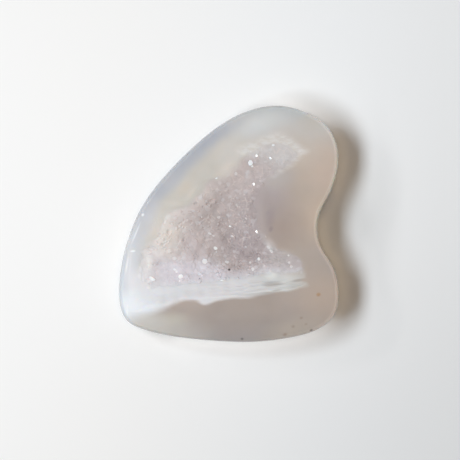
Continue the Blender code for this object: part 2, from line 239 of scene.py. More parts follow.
def lampPlace(azimuth, elevation, distance):
    azimuth, elevation = math.radians(azimuth), math.radians(elevation)
    return Vector((math.cos(azimuth) * math.cos(elevation), math.sin(azimuth) * math.cos(elevation),
                   math.sin(elevation))) * distance


def cameraPlace():
    pixel, (x, y) = studio["pixel"], studio["stoneCentre"]
    reach = studio["frameWidth"] * pixel / studio["sensor"] * studio["lens"]
    middle = studio["frameWidth"] / 2
    return Vector(((middle - x) * pixel, (y - middle) * pixel, shape["girdle"] * mm + reach))


# what the materials are built from
def tone(red, green, blue, gain=1.18):  # a colour as it looks on screen, raised by what light and gloss take away
    shares = (red / 255, green / 255, blue / 255)
    return (*(min(gain * (c / 12.92 if c <= 0.04045 else ((c + 0.055) / 1.055)**2.4), 0.97) for c in shares), 1)


def startMaterial(name):  # the functions below add their nodes to the newest material
    global tree
    material = bpy.data.materials.new(name)
    material.use_nodes = True
    tree = material.node_tree
    return material, tree.nodes["Principled BSDF"]


def addNode(kind, inputs, **settings):  # an input is a plain value, or the socket that it is linked to
    node = tree.nodes.new("ShaderNode" + kind)
    for name, value in settings.items():
        setattr(node, name, value)
    for name, value in inputs.items():
        if isinstance(value, bpy.types.NodeSocket):
            tree.links.new(value, node.inputs[name])
        else:
            node.inputs[name].default_value = value
    return node


def attributeOf(name):
    return addNode("Attribute", {}, attribute_name=name).outputs["Fac"]


def ramp(value, low, high, bottom=0.0, top=1.0):  # a soft step between two values
    ends = {"Value": value, "From Min": low, "From Max": high, "To Min": bottom, "To Max": top}
    return addNode("MapRange", ends, interpolation_type="SMOOTHSTEP").outputs["Result"]


def combine(kind, first, second):
    return addNode("Math", {0: first, 1: second}, operation=kind).outputs["Value"]


def plus(first, second):
    return combine("ADD", first, second)


def times(first, *others):
    for other in others:
        first = combine("MULTIPLY", first, other)
    return first


def brighten(colour, change):  # a colour made lighter by a share of itself, or darker below 0
    scale = {"Vector": colour, "Scale": plus(change, 1.0)}
    return addNode("VectorMath", scale, operation="SCALE").outputs["Vector"]


def onPiece():  # where a point lies on the piece, in metres
    return addNode("TexCoord", {}).outputs["Object"]


def placeOf(axis):  # X, Y or Z on the piece, in millimetres
    return times(addNode("SeparateXYZ", {"Vector": onPiece()}).outputs[axis], 1 / mm)


def spot(centre, reach, turn=0.0, solid=0.0):  # 1 at a place on the stone, fading to 0 at its reach
    moved = addNode("Mapping", {
        "Vector": onPiece(), "Location": (centre[0] * mm, centre[1] * mm, 0),
        "Rotation": (0, 0, math.radians(turn)), "Scale": (reach[0] * mm, reach[1] * mm, 1)}, vector_type="TEXTURE")
    ball = addNode("TexGradient", {"Vector": moved.outputs["Vector"]}, gradient_type="SPHERICAL")
    return ramp(ball.outputs["Fac"], 0.0, 1.0 - solid)


def clouds(size, detail=2.0, stretch=(1, 1, 1), turn=0.0):  # soft noise of a size in millimetres
    moved = addNode("Mapping", {
        "Vector": onPiece(), "Scale": stretch, "Rotation": (0, 0, math.radians(turn))})
    cloud = {"Vector": moved.outputs["Vector"], "Scale": 1 / (size * mm), "Detail": detail}
    return addNode("TexNoise", cloud).outputs["Fac"]


def sway(*cloud):  # clouds that go to both sides of 0
    return plus(clouds(*cloud), -0.5)


def layOver(under, over, amount):  # one colour laid over another by an amount
    return addNode("Mix", {0: amount, 6: under, 7: over}, data_type="RGBA").outputs[2]


def layPatches(colour, patches, solid=0.0):  # a patch may end with how solid its own middle is
    for x, y, length, width, turn, shade, strength, *own in patches:
        patch = spot((x, y), (length, width), turn, *(own or [solid]))
        colour = layOver(colour, tone(*shade), times(patch, strength))
    return colour


def stopsAlong(value, stops):  # colours that follow one another along a value
    low, high = stops[0][0], stops[-1][0]
    share = addNode("MapRange", {"Value": value, "From Min": low, "From Max": high})
    shades = addNode("ValToRGB", {"Fac": share.outputs["Result"]})
    while len(shades.color_ramp.elements) < len(stops):
        shades.color_ramp.elements.new(0.5)
    for element, (place, shade) in zip(shades.color_ramp.elements, stops):
        element.position = (place - low) / (high - low)
        element.color = tone(*shade)
    return shades.outputs["Color"]


# the polished stone
stoneParts = {"around": 320, "footRings": 9, "shoulderRings": 16, "faceRings": 20, "ledgeRings": 24, "floorStep": 0.5}


def matchRim(shoulderLoop):  # rim points that face the shoulder's points across the polished face
    pairs = [
        ((9.5, 25), (10.6, 18.3)), ((-7.3, 16.4), (-1.6, 11.3)), ((-19, 2.3), (-15.2, 0.9)),
        ((-23.1, -13.2), (-20.8, -11.7)), ((-21.1, -20.7), (-20, -18.1)), ((-2.8, -24.7), (-4, -15.5)),
        ((13.1, -24), (10, -13.8)), ((22.2, -18.9), (15.6, -13.1)), ((22, -9.1), (16.8, -10.3)),
        ((18.8, -1.3), (9.2, -2.3)), ((19.3, 2.3), (7.8, 3.2)), ((22.8, 11.3), (13.4, 11.4)),
        ((22.8, 16.4), (15.6, 14.5)), ((20.4, 21), (14, 16.9))]
    count = len(shoulderLoop)
    fineCount = 2000
    fine = smoothLine(plan["upperRim"] + plan["lowerRim"], fineCount)
    outer = [lengths(shoulderLoop - np.array(a) * mm).argmin() for a, _ in pairs]
    inner = [lengths(fine - np.array(b) * mm).argmin() for _, b in pairs]
    first = outer[0], inner[0]
    outer = [(k - first[0]) % count for k in outer] + [count]
    inner = [(k - first[1]) % fineCount for k in inner] + [fineCount]
    places = np.interp((np.arange(count) - first[0]) % count, outer, inner)
    for _ in range(6):  # evens out the steps where two stretches meet
        ahead, behind = np.roll(places, -1), np.roll(places, 1)
        ahead = ahead + np.where(ahead < places - fineCount / 2, fineCount, 0)
        behind = behind - np.where(behind > places + fineCount / 2, fineCount, 0)
        places = (ahead + behind + 2 * places) / 4 % fineCount
    places = places + first[1]
    whole = np.floor(places).astype(int)
    part = (places - whole)[:, None]
    return fine[whole % fineCount] * (1 - part) + fine[(whole + 1) % fineCount] * part


def hollowFloor(points):  # how deep the stone lies in the hollow: it dips where crystals cover it
    cover = crustShare(points)
    return hollowDepth(points) + (shape["crustGap"] * cover + 0.5 * smoothStep(cover, 0.75, 1.0)) * mm


def stoneRings():
    settings = stoneParts
    loop = smoothLine(plan["outline"], settings["around"])
    normals = outwardNormals(loop)
    lean = (shape["shoulderInset"] + shape["leftInset"] * np.clip(-normals[:, 0], 0, 1)) * mm
    lean = np.minimum(lean, distanceTo(loop, rimLoop, True) - shape["rimWidth"] * mm)
    shoulder = loop - normals * lean[:, None]
    top = faceHeight(shoulder)
    girdle = shape["girdle"] * mm
    rings = []
    for step in range(settings["footRings"]):
        turn = step / settings["footRings"] * math.pi / 2
        inset = shape["footInset"] * mm * (1 - math.sin(turn))
        rings.append(np.column_stack([loop - normals * inset, np.full(len(loop), girdle * (1 - math.cos(turn)))]))
    for step in range(settings["shoulderRings"] + 1):
        turn = step / settings["shoulderRings"] * math.pi / 2
        bend = 2 / shape["squareness"]
        inset = (lean * (1 - max(math.cos(turn), 0)**bend))[:, None]
        rings.append(np.column_stack([loop - normals * inset, girdle + (top - girdle) * math.sin(turn)**bend]))
    rim = matchRim(shoulder)
    for step in range(1, settings["faceRings"]):
        share = 1 - (1 - step / settings["faceRings"])**1.5
        flat = shoulder * (1 - share) + rim * share
        rings.append(np.column_stack([flat, faceHeight(flat)]))
    rimNormals = outwardNormals(rim)
    ends = [lengths(rim / mm - end) for end in ((15.3, 14.0), (16.9, -10.2), (-20.1, -18.2), (15.4, -13.0))]
    onSoft = (distanceTo(rim, softRim) < 0.15 * mm) * smoothStep(np.minimum(ends[0], ends[1]), 1.0, 5.5)
    onLower = (distanceTo(rim, lowerRim) < 0.15 * mm) * smoothStep(np.minimum(ends[2], ends[3]), 0.5, 3.5)
    reach = 2.7 + 1.5 * onSoft + 1.2 * onLower
    ahead = np.roll(rim, -1, axis=0) - rim
    for _ in range(80):  # draws the reach in wherever two sides of the hollow would meet
        flat = rim - rimNormals * (1.1 * reach * mm)[:, None]
        folded = ((np.roll(flat, -1, axis=0) - flat) * ahead).sum(axis=1) < 0.25 * (ahead**2).sum(axis=1)
        folded |= np.roll(folded, 1)
        folded |= distanceTo(flat, rimLoop, True) < 1.06 * reach * mm - 0.02 * mm
        reach = np.where(folded, reach * 0.93, reach)
        reach = np.minimum(reach, (np.roll(reach, 1) + 2 * reach + np.roll(reach, -1)) / 4 + 0.03)
    for step in range(settings["ledgeRings"]):
        flat = rim - rimNormals * (reach * step / (settings["ledgeRings"] - 1) * mm)[:, None]
        depth = hollowFloor(flat) if step else np.full(len(flat), 0.01 * mm)
        rings.append(np.column_stack([flat, faceHeight(flat) - depth]))
    return rings


def startDisc(name, points):  # a flat disc with its rim on these points, left in edit mode
    bpy.ops.object.select_all(action="DESELECT")
    bpy.ops.mesh.primitive_circle_add(vertices=len(points), radius=20 * mm, fill_type="NGON")
    piece = bpy.context.object
    piece.name = piece.data.name = name
    piece.data.vertices.foreach_set("co", np.asarray(points, np.float32).ravel())
    bpy.ops.object.mode_set(mode="EDIT")
    bpy.ops.mesh.select_all(action="SELECT")
    return piece


def extrudeTo(piece, before, after):  # draws the open edge out to the next ring
    bpy.ops.mesh.extrude_edges_move()
    mesh = bmesh.from_edit_mesh(piece.data)
    for vertex in [vertex for vertex in mesh.verts if vertex.select]:
        nearest = ((before - vertex.co)**2).sum(axis=1).argmin()
        vertex.co = after[nearest]
    bmesh.update_edit_mesh(piece.data)


def evenNet(low, high, step):  # places in even rows and columns
    return np.array([(x, y) for y in np.arange(low[1], high[1], step) for x in np.arange(low[0], high[0], step)])


def fillHollow(piece, edge):  # closes the last ring with an even net of triangles
    step, rim = stoneParts["floorStep"], edge[:, :2]
    net = evenNet(rim.min(axis=0) / mm, rim.max(axis=0) / mm, step)
    inner = net[signedDistance(net * mm, rim) > 0.4 * step * mm]
    heights = faceHeight(inner * mm) - hollowFloor(inner * mm)
    places = [Vector(place) for place in np.vstack([rim / mm, inner])]
    found = delaunay_2d_cdt(places, [], [list(range(len(rim)))], 1, 1e-5)
    mesh = bmesh.from_edit_mesh(piece.data)
    open_ = [vertex for vertex in mesh.verts if vertex.select]
    places = np.array([vertex.co for vertex in open_])
    corners = [open_[((places - place)**2).sum(axis=1).argmin()] for place in edge]
    corners += [mesh.verts.new((x * mm, y * mm, z)) for (x, y), z in zip(inner, heights)]
    for face in found[2]:
        mesh.faces.new([corners[found[3][corner][0]] for corner in face])
    bmesh.update_edit_mesh(piece.data)


def markDistances(piece):  # how far each point is from the lines of the plan, in millimetres, for the materials
    points = np.empty(len(piece.data.vertices) * 3)
    piece.data.vertices.foreach_get("co", points)
    points = points.reshape(-1, 3)[:, :2]
    bandLine = smoothLine(plan["bandEdge"], 0.15 * mm, closed=False)
    bandLoop = np.vstack([bandLine, np.array([(12, 6), (-12, 6), (-26, -6)]) * mm])
    nearest = ((points[:, None] - outlineLoop[None, ::4])**2).sum(axis=2).argmin(axis=1)
    net = evenNet((-22, -19), (18, 19), 0.4) * mm
    covered = net[crustShare(net) > 0.36]
    crystals = KDTree(len(covered))
    for number, (x, y) in enumerate(covered):
        crystals.insert((x, y, 0), number)
    crystals.balance()
    for name, values in (
            ("fromOutline", signedDistance(points, outlineLoop) / mm),
            ("outlineFacing", outwardNormals(outlineLoop)[::4][nearest, 0]),
            ("fromRim", signedDistance(points, rimLoop) / mm),
            ("fromFoot", footDistance(points) / mm),
            ("fromBand", distanceTo(points, bandLine) * np.where(isInside(points, bandLoop), 1, -1) / mm),
            ("fromMist", signedDistance(points, smoothLine(plan["mistEdge"], 0.3 * mm)) / mm),
            ("crustShare", crustShare(points)),
            ("fromCrystals", [crystals.find((x, y, 0))[2] / mm for x, y in points])):
        attribute = piece.data.attributes.new(name, "FLOAT", "POINT")
        attribute.data.foreach_set("value", np.asarray(values, np.float32))


def closeUp():  # turns all faces outwards and leaves edit mode
    bpy.ops.mesh.select_all(action="SELECT")
    bpy.ops.mesh.normals_make_consistent(inside=False)
    bpy.ops.object.mode_set(mode="OBJECT")


def makeStone():
    rings = stoneRings()
    piece = startDisc("agateStone", rings[0])
    bpy.ops.mesh.select_mode(type="EDGE")
    for before, after in zip(rings, rings[1:]):
        extrudeTo(piece, before, after)
    fillHollow(piece, rings[-1])
    closeUp()
    bpy.ops.object.shade_smooth_by_angle(angle=math.radians(40))
    markDistances(piece)
    return piece


chalcedony = {
    # the grey-brown body from the lower edge to the top, in millimetres along Y
    "body": [
        (-24.5, (163, 156, 154)), (-20.5, (165, 155, 149)), (-16, (176, 164, 156)), (-8, (177, 166, 158)),
        (0, (181, 167, 156)), (6, (184, 171, 160)), (10.5, (189, 176, 165)), (16, (197, 187, 178)),
        (21, (196, 193, 190)), (24.5, (190, 193, 194))],
    # the white layer from left to right, in millimetres along X
    "white": [
        (-22, (224, 226, 229)), (-17, (218, 219, 221)), (-13.5, (206, 205, 206)), (-8, (208, 206, 207)),
        (-1.7, (209, 207, 208)), (4.6, (204, 202, 202)), (12, (200, 199, 197)), (16.8, (186, 180, 174))],
    "coolMargin": tone(176, 178, 184), "beigeBand": tone(195, 190, 183), "sideLayer": tone(218, 205, 190),
    # the edge line's colour is painted shade, laid along the outline
    "greyLayer": tone(180, 177, 174), "glassyEdge": tone(192, 197, 204), "paintedEdgeShade": tone(150, 151, 156),
    "mist": tone(213, 210, 207),
    # soft patches: place, half length and half width in millimetres, turn, colour and strength
    "rightPatches": [
        (22, 10, 7, 11, 8, (196, 180, 168), 1), (19.5, 1.5, 5.5, 8, 0, (193, 177, 163), 1),
        (20.5, -15.5, 9, 9, 0, (184, 169, 157), 0.9), (8, 3.5, 7.5, 12.5, -12, (174, 164, 163), 0.9, 0.2),
        (11, -1, 6.5, 8.5, -8, (168, 154, 146), 0.8), (8.7, 1.3, 1.6, 4, -10, (152, 140, 144), 0.35),
        (10, 10, 6.5, 4.5, 10, (185, 179, 176), 0.85), (5, 20.3, 11, 4.5, 22, (203, 203, 202), 1)],
    "leftPatches": [
        (-13.8, 0.2, 5.8, 5, 40, (206, 201, 195), 0.8), (-17, 1.2, 8, 2.9, 66, (198, 197, 200), 0.75),
        (-11.9, 9.3, 4.4, 2.8, 50, (184, 184, 187), 0.7), (-8.9, 7.7, 3.4, 1.7, 47, (198, 189, 178), 0.75),
        (-11.6, 4.3, 3.4, 1.1, -4, (211, 204, 197), 0.35), (-7.8, 6.4, 2.8, 0.8, 50, (208, 200, 191), 0.4),
        (14, -22.2, 11, 4, 15, (180, 170, 160), 0.9), (-17.9, -1, 3, 2.4, 60, (188, 186, 186), 0.55),
        (17.5, 21.5, 4.5, 3.5, 0, (190, 183, 174), 0.6), (-11.5, -20.2, 4.5, 2.4, 0, (190, 186, 173), 0.6),
        (1.5, 14.5, 6, 5, 30, (202, 198, 193), 0.9), (-22.5, -9.5, 7, 14, -15, (211, 211, 213), 1, 0.2),
        (-17.5, -13.3, 7, 5.5, 0, (217, 215, 216), 1, 0.35), (-16, -23, 18, 7, -8, (193, 189, 183), 0.9),
        (-18.3, -20.3, 6.8, 4.2, 0, (198, 195, 190), 0.9)],
    # the lens-shaped gaps in the white layer
    "lensGaps": [
        (9.2, -12.6, 2.7, 0.85, 3, (160, 152, 146), 0.5), (14.8, -11.8, 2.2, 0.45, 8, (160, 152, 146), 0.7),
        (10.1, -13.9, 1.6, 0.35, 8, (160, 152, 146), 0.5)],
    # small inclusions, and painted highlights as pale dots and streaks along the left edge
    "specksAndHighlights": [
        (18.9, -14.8, 0.7, 0.6, 20, (172, 138, 104), 0.7), (15.3, -19.7, 0.55, 0.45, 20, (150, 130, 116), 0.45),
        (13.6, -21.5, 0.6, 0.5, 20, (146, 126, 112), 0.4), (16.3, -21, 0.5, 0.4, 20, (152, 132, 118), 0.4),
        (17.4, -22.3, 0.5, 0.4, 20, (96, 88, 84), 0.7), (11.9, -23.2, 0.7, 0.5, 20, (140, 116, 100), 0.45),
        (2.9, -24.1, 0.45, 0.4, 0, (90, 88, 88), 0.7), (-16.7, -22.6, 0.6, 0.5, 0, (140, 130, 120), 0.35),
        (8.9, -1.1, 0.9, 0.6, 70, (150, 139, 141), 0.6), (8.2, 2.3, 0.9, 0.6, 60, (156, 146, 148), 0.45),
        # the pale entries from here on are painted highlights of the light along the left rim
        (-17.9, 1.9, 0.5, 0.4, 60, (236, 240, 246), 0.7), (-19.4, -2.1, 3.4, 0.28, 67, (232, 237, 245), 0.6),
        (-20, -5.7, 0.8, 0.32, 6, (246, 248, 250), 0.95), (-21.2, -8.5, 2.6, 0.3, 81, (234, 235, 237), 0.6),
        (-21.2, -18.2, 2.4, 0.25, 89, (238, 240, 243), 0.5), (-22, -6.6, 1.1, 0.35, 72, (236, 237, 237), 0.6)],
    "roughness": 0.08, "ior": 1.54, "glowDepth": 2, "glow": (1, 0.84, 0.7),
}


def paintStone():  # the polished stone's colour, which the crust also takes where it fades out
    look = chalcedony
    x, y, z = (placeOf(axis) for axis in "XYZ")
    fromBand = attributeOf("fromBand")
    colour = layPatches(stopsAlong(y, look["body"]), look["rightPatches"])
    # the upper left: a cool margin, then a beige band beside the hollow
    depth = plus(attributeOf("fromOutline"), times(clouds(7), 1.4))
    margin = layOver(look["coolMargin"], look["beigeBand"], ramp(depth, 2, 5))
    colour = layOver(colour, margin, times(ramp(x, 6, -4), ramp(y, -13, -4)))
    colour = layPatches(colour, look["leftPatches"])
    fibres = ramp(clouds(1, 3, (0.7, 1.5, 1), -40), 0.35, 0.65, 0.4, 0.95)
    mist = ramp(attributeOf("fromMist"), -0.8, 1.3)
    colour = layOver(colour, look["mist"], times(mist, fibres))
    # the white layer with its grey streaks, and the clear stone a little darker under it
    streaks = ramp(clouds(2.2, 2, (0.12, 2.2, 1), -6), 0.5, 0.68)
    streaks = times(streaks, ramp(x, -8, 8, 0.06, 0.8))
    white = layOver(stopsAlong(x, look["white"]), look["greyLayer"], streaks)
    white = layPatches(white, look["lensGaps"], 0.2)
    under = times(ramp(fromBand, -4.5, -0.2), ramp(y, -8, -12, 0, -0.09), ramp(x, -7, -2), ramp(x, 13, 8))
    softness = plus(ramp(x, -21, -13, 2, 1), ramp(x, -13, -9, 0, -0.45))
    ragged = plus(fromBand, times(sway(1.6, 3, (0.4, 1.6, 1), -8), 0.9))
    lowest = plus(y, ramp(x, -12, -19, -0.5, 3))
    amount = times(ramp(combine("DIVIDE", ragged, softness), -0.9, 0.9), ramp(lowest, -9.2, -12.2))
    colour = layOver(brighten(colour, under), white, amount)
    # the specks and the painted highlights lie near the polished face only, and the side shows faint level layers
    colour = layOver(colour, layPatches(colour, look["specksAndHighlights"], 0.2), ramp(z, 11, 13))
    side = ramp(z, 13.6, 10)
    warm = ramp(clouds(5, 2, (0.2, 0.2, 2.2)), 0.42, 0.62, 0, 0.7)
    colour = layOver(colour, look["sideLayer"], times(warm, side))
    broad = ramp(clouds(5, 3, (0.3, 0.3, 4)), 0.35, 0.65, -0.07, 0.07)
    fine = ramp(clouds(5, 2, (0.25, 0.25, 15)), 0.35, 0.65, -0.07, 0.07)
    colour = brighten(colour, times(plus(broad, fine), side))
    return brighten(colour, ramp(clouds(5, 3), 0.3, 0.7, -0.02, 0.02))


def paintEdges(colour):  # a glassy line down the left, painted shade along the edges, and a painted glow along the right-facing edge
    look = chalcedony
    x, y = placeOf("X"), placeOf("Y")
    fromOutline, facing = attributeOf("fromOutline"), attributeOf("outlineFacing")
    glassy = times(ramp(fromOutline, 1.15, 0.7), ramp(x, -19, -21), ramp(y, -3, -8), 0.7)
    colour = layOver(colour, look["glassyEdge"], glassy)
    # painted shade: a thin dark line just inside the outline, on its left half
    line = times(ramp(fromOutline, 0.34, 0.1), ramp(x, 6, -4), 0.7)
    colour = layOver(colour, look["paintedEdgeShade"], line)
    # painted shade darkens the edges that don't face right; painted light makes the right-facing rim glow and darkens
    # the left-facing rim a little
    shaded = times(ramp(fromOutline, 3.4, 0), ramp(facing, 0.5, 0.1, 0, -0.07))
    paintedGlow = times(ramp(fromOutline, 1.1, 0.1), ramp(facing, -0.2, 0.9, -0.1, 0.75))
    return brighten(brighten(colour, shaded), paintedGlow)


quartz = {
    # the crystals' colour from left to right, in millimetres along X
    "across": [
        (-20, (218, 216, 216)), (-16, (217, 210, 208)), (-12.5, (216, 209, 205)), (-8, (200, 189, 186)),
        (-3, (186, 175, 172)), (5, (180, 169, 168)), (12, (184, 175, 174))],
    # soft patches: place, half length and half width in millimetres, turn, colour and strength
    "patches": [
        (2.5, 10.5, 8, 7, 40, (195, 184, 181), 1), (-5.5, 6, 5, 4, 30, (202, 192, 188), 1),
        (3, -4.5, 10, 6.5, -20, (168, 157, 157), 0.8), (6, 2.5, 4.5, 7.5, -10, (166, 155, 154), 0.75),
        (8.6, -4, 5, 1.5, -58, (194, 188, 186), 0.7), (11.5, 15.5, 8.5, 6, 10, (200, 195, 193), 1, 0.2),
        (5.5, 16, 4.5, 3, 40, (212, 208, 206), 1)],
    "lowPatches": [
        (8, -10.3, 8, 2.6, 6, (203, 198, 200), 0.85), (9.5, -11.3, 1.7, 1.2, 8, (215, 214, 213), 1),
        (-7.5, -5.2, 5.5, 4, -20, (190, 180, 181), 0.6)],
    # painted shade in one small hole between the crystals
    "paintedPitShade": [(0.2, -9.6, 0.36, 0.36, 0, (60, 52, 52), 0.9, 0.3)],
    "lilac": tone(208, 202, 206), "white": tone(206, 204, 206),
    # the spark colour is painted on the listed glints, and the line colour is painted glint along the edges of larger
    # crystals
    "spark": tone(253, 246, 241), "line": tone(216, 203, 196),
    "roughness": 0.12, "ior": 1.54, "glowDepth": 1.1, "glow": (1, 0.85, 0.78),
}


def paintCrystals():
    look = quartz
    x, y = placeOf("X"), placeOf("Y")
    colour = stopsAlong(plus(x, times(sway(4), 5)), look["across"])
    colour = layPatches(colour, look["patches"])
    level = plus(y, ramp(x, -5, 2, 0, 3.2))
    low = times(ramp(level, -5.5, -9.5), ramp(x, 15, 4, 0.5, 1), ramp(x, -19, -13))
    colour = layPatches(layOver(colour, look["lilac"], low), look["lowPatches"])
    ragged = plus(attributeOf("fromFoot"), times(sway(1.1, 2), 2))
    return layOver(colour, look["white"], ramp(ragged, 1.9, -0.2, 0, 0.9))


# patches that lie over the stone and the crystals alike: mostly the stone's own tones, but the first lifts the
# hollow's upper wall out of its shade with painted light, the three small white spots at the left end are painted
# glints, and the long thin streak at the far left is a painted highlight
patchesAndPaintedLight = [
    (0, 11.5, 4.5, 2.4, 42, (208, 200, 193), 0.8), (-17.5, -12.8, 6.5, 4.6, 0, (219, 216, 217), 0.55),
    (8.8, -4.4, 2.4, 1.5, -55, (196, 190, 188), 0.6), (12, -6.2, 3, 1.3, -18, (188, 180, 176), 0.6),
    (7.4, 3.2, 1.8, 7, 0, (169, 159, 157), 0.55), (-21.8, -12.8, 1.7, 4, 0, (205, 208, 213), 0.75),
    (-12.8, -2.2, 5.5, 4.2, 30, (221, 212, 204), 0.6), (-18.4, -9.4, 0.45, 1, 0, (232, 230, 228), 0.5),
    (-18.6, -10.9, 0.55, 0.9, 0, (232, 230, 228), 0.5), (-16.8, -13.4, 0.6, 0.4, 0, (234, 232, 232), 0.5),
    (-20.6, -9, 0.35, 5, -4, (222, 222, 225), 0.4), (10.3, -7.6, 3.2, 1.6, -8, (191, 184, 182), 0.6),
    (2.6, 4.2, 3.4, 3, 0, (176, 165, 163), 0.35), (8.9, -10.8, 2.5, 1.3, 6, (216, 216, 214), 0.85),
    (3.9, -6.6, 3, 1.5, -10, (158, 146, 145), 0.6), (-0.2, -0.6, 3.2, 2.4, 0, (178, 165, 161), 0.3),
    (-16.7, -8.3, 1.3, 2.6, 0, (231, 226, 222), 0.7), (-6.4, -8.1, 1.2, 0.8, 0, (211, 205, 208), 0.6),
    (2.6, -10.4, 1.6, 1, 0, (205, 199, 202), 0.7),
]


def paintBoth():
    stoneColour = paintStone()
    share = ramp(attributeOf("crustShare"), 0.05, 0.75)
    # the patches over both include painted light: a lift of shade, glints and a highlight
    colour = layPatches(layOver(stoneColour, paintCrystals(), share), patchesAndPaintedLight)
    colour = layOver(stoneColour, colour, ramp(placeOf("Z"), 8, 10))  # not on the underside
    return paintEdges(colour)


def finishShader(shader, look, painted):  # links what is painted, and lets light go some way into the piece
    for name, value in painted.items():
        tree.links.new(value, shader.inputs[name])
    shader.inputs["Subsurface Weight"].default_value = 1.0
    shader.inputs["Subsurface Radius"].default_value = look["glow"]


def makeChalcedony():
    look = chalcedony
    material, shader = startMaterial("milkyChalcedony")
    # the polish stops at the hollow, the outermost line mirrors nothing, and the glow thins out beside the crystals
    finishShader(shader, look, {
        "Base Color": paintBoth(),
        "Roughness": ramp(attributeOf("fromRim"), -0.4, 1.2, look["roughness"], 0.25),
        "IOR": ramp(attributeOf("fromOutline"), 0, 0.6, 1.02, look["ior"]),
        "Subsurface Scale": ramp(attributeOf("fromCrystals"), 0.3, 3, 0.12 * mm, look["glowDepth"] * mm)})
    return material


def crystalPlates(size):  # under the small crystals: an uneven tone for each larger one, and painted glints as broken paler lines along its edges
    scale = {"Vector": onPiece(), "Scale": 1 / (size * mm)}
    cell = addNode("TexVoronoi", scale, voronoi_dimensions="2D")
    edge = addNode("TexVoronoi", scale, voronoi_dimensions="2D", feature="DISTANCE_TO_EDGE")
    lines = times(ramp(edge.outputs["Distance"], 0, 0.09, 0.4, 0),
                  ramp(clouds(1.6, 2), 0.48, 0.6), ramp(placeOf("Y"), -7, -3))
    return ramp(cell.outputs["Color"], 0, 1, -0.03, 0.03), lines


def makeQuartz():
    look = quartz
    material, shader = startMaterial("druzyQuartz")
    share, tint = attributeOf("crustShare"), attributeOf("crystalTint")
    busy = plus(times(spot((5, -6.5), (11, 6), -10, 0.3), 0.16), 0.16)
    shade, lines = crystalPlates(1.7)
    uneven = plus(ramp(tint, 0, 1, -0.05, 0.01), times(sway(0.9, 2), busy))
    colour = brighten(paintBoth(), times(plus(shade, uneven), share))
    # painted glints along the edges of the larger crystals, in the upper part only
    colour = layOver(colour, look["line"], times(lines, share))
    # painted faint sparkles: a few random crystals made paler, less so at the far left
    faintSparkles = times(ramp(tint, 0.86, 0.97, 0, 0.3), share, ramp(placeOf("X"), -18, -12, 0.2, 1))
    colour = layOver(colour, look["white"], faintSparkles)
    # painted glints: the listed flat crystals are painted near white, by their strength
    colour = layOver(colour, look["spark"], attributeOf("paintedGlint"))
    finishShader(shader, look, {
        "Base Color": layPatches(colour, look["paintedPitShade"]),
        "Roughness": ramp(share, 0.3, 0.7, 0.25, look["roughness"]),
        "Subsurface Scale": ramp(share, 0.3, 1, 0.08 * mm, look["glowDepth"] * mm)})
    shader.inputs["IOR"].default_value = look["ior"]
    return material


stone = makeStone()
stone.data.materials.append(makeChalcedony())
print("stone:", len(stone.data.polygons), "faces")
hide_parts("agate_stone")
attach(stone, "root")


# the crust of crystals
crustParts = {
    "spacing": 0.58, "jitter": 0.4, "missing": 0.22, "relief": 0.23, "lean": 0.35, "flatTops": 0.3, "topSlope": 0.2,
    "lumps": 0.35, "slab": 5, "seed": 11, "smallGlints": 0.004,
    # flat crystals painted near white as glints, the small bright ones also tilted to mirror the glint light: place,
    # half length, half width, turn and strength
    "glints": [
        (4.65, 12.75, 0.52, 0.56, 0, 1), (5, 12.05, 0.26, 0.2, 0, 0.7), (5.9, 14.3, 0.28, 0.25, 0, 0.9),
        (8.8, 13.75, 0.25, 0.2, 0, 0.85), (9.4, 16.5, 0.28, 0.22, 0, 0.75), (5.35, 8.35, 0.22, 0.22, 0, 0.9),
        (4.5, 15.2, 0.26, 0.2, 0, 0.55), (5.3, 15.8, 0.28, 0.2, 30, 0.5), (1.6, 10.5, 0.4, 0.3, 0, 0.25),
        (-2.5, 9.6, 0.24, 0.2, 0, 0.75), (-16, -11.5, 0.74, 0.33, -33, 1), (-10, -11, 0.52, 0.46, 30, 1),
        (-11.2, -9.6, 0.4, 0.22, -25, 0.6), (-10.8, -10.1, 0.4, 0.2, -75, 0.6), (-4.95, -7.85, 0.55, 0.6, 0, 0.6),
        (-2.7, -5.1, 0.42, 0.3, -15, 0.7), (-2.5, -5.8, 0.25, 0.16, 80, 0.4), (-1.3, -11.9, 0.26, 0.22, 0, 0.7),
        (-11.3, -7.2, 0.5, 0.35, 0, 0.25), (-0.4, -8, 0.6, 0.28, -8, 0.45), (-3.9, -2, 0.42, 0.2, -25, 0.45),
        (-3.1, -2.5, 0.25, 0.22, 0, 0.35), (0.8, -2.55, 0.3, 0.2, -10, 0.5), (0.35, -0.5, 0.44, 0.17, 0, 0.95),
        (-2, 1.4, 0.35, 0.3, 0, 0.25), (5.95, -1.65, 0.3, 0.2, -60, 0.95), (6.4, -7.35, 0.28, 0.36, 10, 0.75),
        (8.4, -4.9, 0.26, 0.6, 30, 0.35), (9, -5.7, 0.24, 0.5, 30, 0.45), (7.9, -2.5, 0.2, 0.5, 0, 0.3),
        (12.6, -6.6, 0.2, 0.2, 0, 0.5), (13.2, -8.9, 0.24, 0.7, 0, 0.4), (12.7, -8.1, 0.24, 0.22, 0, 0.4),
        (5.15, -9.5, 0.28, 0.42, 0, 0.45), (4.6, -8.1, 0.22, 0.22, 0, 0.45), (3.7, -4.8, 0.26, 0.22, 0, 0.3),
        (3.8, 1.1, 0.3, 0.28, 0, 0.25), (1.85, 4, 0.22, 0.45, 0, 0.2), (-5.6, 1.5, 0.22, 0.5, 0, 0.2),
        (-13.3, 0.3, 0.26, 0.24, 0, 0.3), (-13.9, 1.4, 0.22, 0.26, 0, 0.3)],
}


def turned(turn):  # the directions along and across a turned crystal, as columns
    c, s = math.cos(math.radians(turn)), math.sin(math.radians(turn))
    return np.array([[c, -s], [s, c]])


